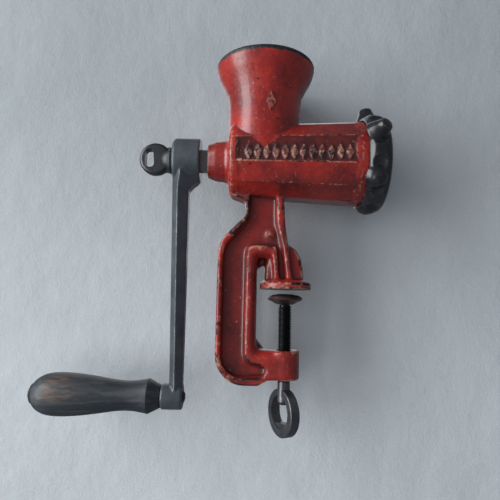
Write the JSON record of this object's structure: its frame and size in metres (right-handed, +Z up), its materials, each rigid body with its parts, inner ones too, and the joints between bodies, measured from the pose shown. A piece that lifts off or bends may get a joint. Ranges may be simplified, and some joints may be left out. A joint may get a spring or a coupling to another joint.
{
  "type": "hand crank meat grinder",
  "caption": "Clamp-on cast meat grinder: a hand crank turns a worm and knife behind a perforated plate held by a ring nut.",
  "frame": {"origin": "centre of the upper jaw's flat lower face, which rests on the table top", "axes": "+Z up through the hopper, +X along the barrel towards the mouth and ring nut, +Y away from the side that shows the panel nearest"},
  "size_m": [0.2334, 0.0735, 0.2534],
  "materials": {
    "red_enamel": "gloss, chipped",
    "black_ring": "satin black, worn",
    "dark_arm": "dull dark cast iron",
    "grey_steel": "dull plated steel",
    "dark_steel": "tarnished steel",
    "tinned_iron": "dull tinned",
    "blade_steel": "ground",
    "dark_wood": "dark varnish",
    "fibre_washer": "dull"
  },
  "bodies": {
    "frame": {"housing": "red_enamel", "plate_pin": "grey_steel", "thrust_washer": "fibre_washer"},
    "crank": {"worm": "tinned_iron", "worm_stud": "blade_steel", "cross_knife": "blade_steel", "crank_arm": "dark_arm", "crank_washer": "grey_steel", "thumb_screw": "dark_steel", "handle_spindle": "dark_steel", "grip_washer": "grey_steel"},
    "grip": {"handle_grip": "dark_wood"},
    "plate": {"perforated_plate": "blade_steel"},
    "ring": {"clamping_ring": "black_ring"},
    "pad": {"clamp_pad": "dark_steel"},
    "screw": {"clamp_screw": "grey_steel"}
  },
  "joints": [
    {"name": "crank_turn", "type": "hinge", "parent": "frame", "child": "crank", "pos_m": [0, 0, 0.088], "axis": [1, 0, 0], "continuous": true},
    {"name": "grip_spin", "type": "hinge", "parent": "crank", "child": "grip", "pos_m": [-0.124, 0, -0.072], "axis": [1, 0, 0], "continuous": true},
    {"name": "plate_slide", "type": "slide", "parent": "frame", "child": "plate", "axis": [1, 0, 0], "range_m": [0, 0.0125]},
    {"name": "ring_turn", "type": "hinge", "parent": "plate", "child": "ring", "pos_m": [0.056, 0, 0.088], "axis": [1, 0, 0], "range_deg": [0, 1800]},
    {"name": "clamp_travel", "type": "slide", "parent": "frame", "child": "pad", "axis": [0, 0, 1], "range_m": [-0.0295, 0.0025]},
    {"name": "screw_turn", "type": "hinge", "parent": "pad", "child": "screw", "pos_m": [0, 0, -0.05], "axis": [0, 0, 1], "range_deg": [-6700, 570]}
  ],
  "couplings": [
    {"joint": "plate_slide", "follows": "ring_turn", "m_per_rad": 0.00039789},
    {"joint": "screw_turn", "follows": "clamp_travel", "rad_per_m": 3957.9}
  ]
}
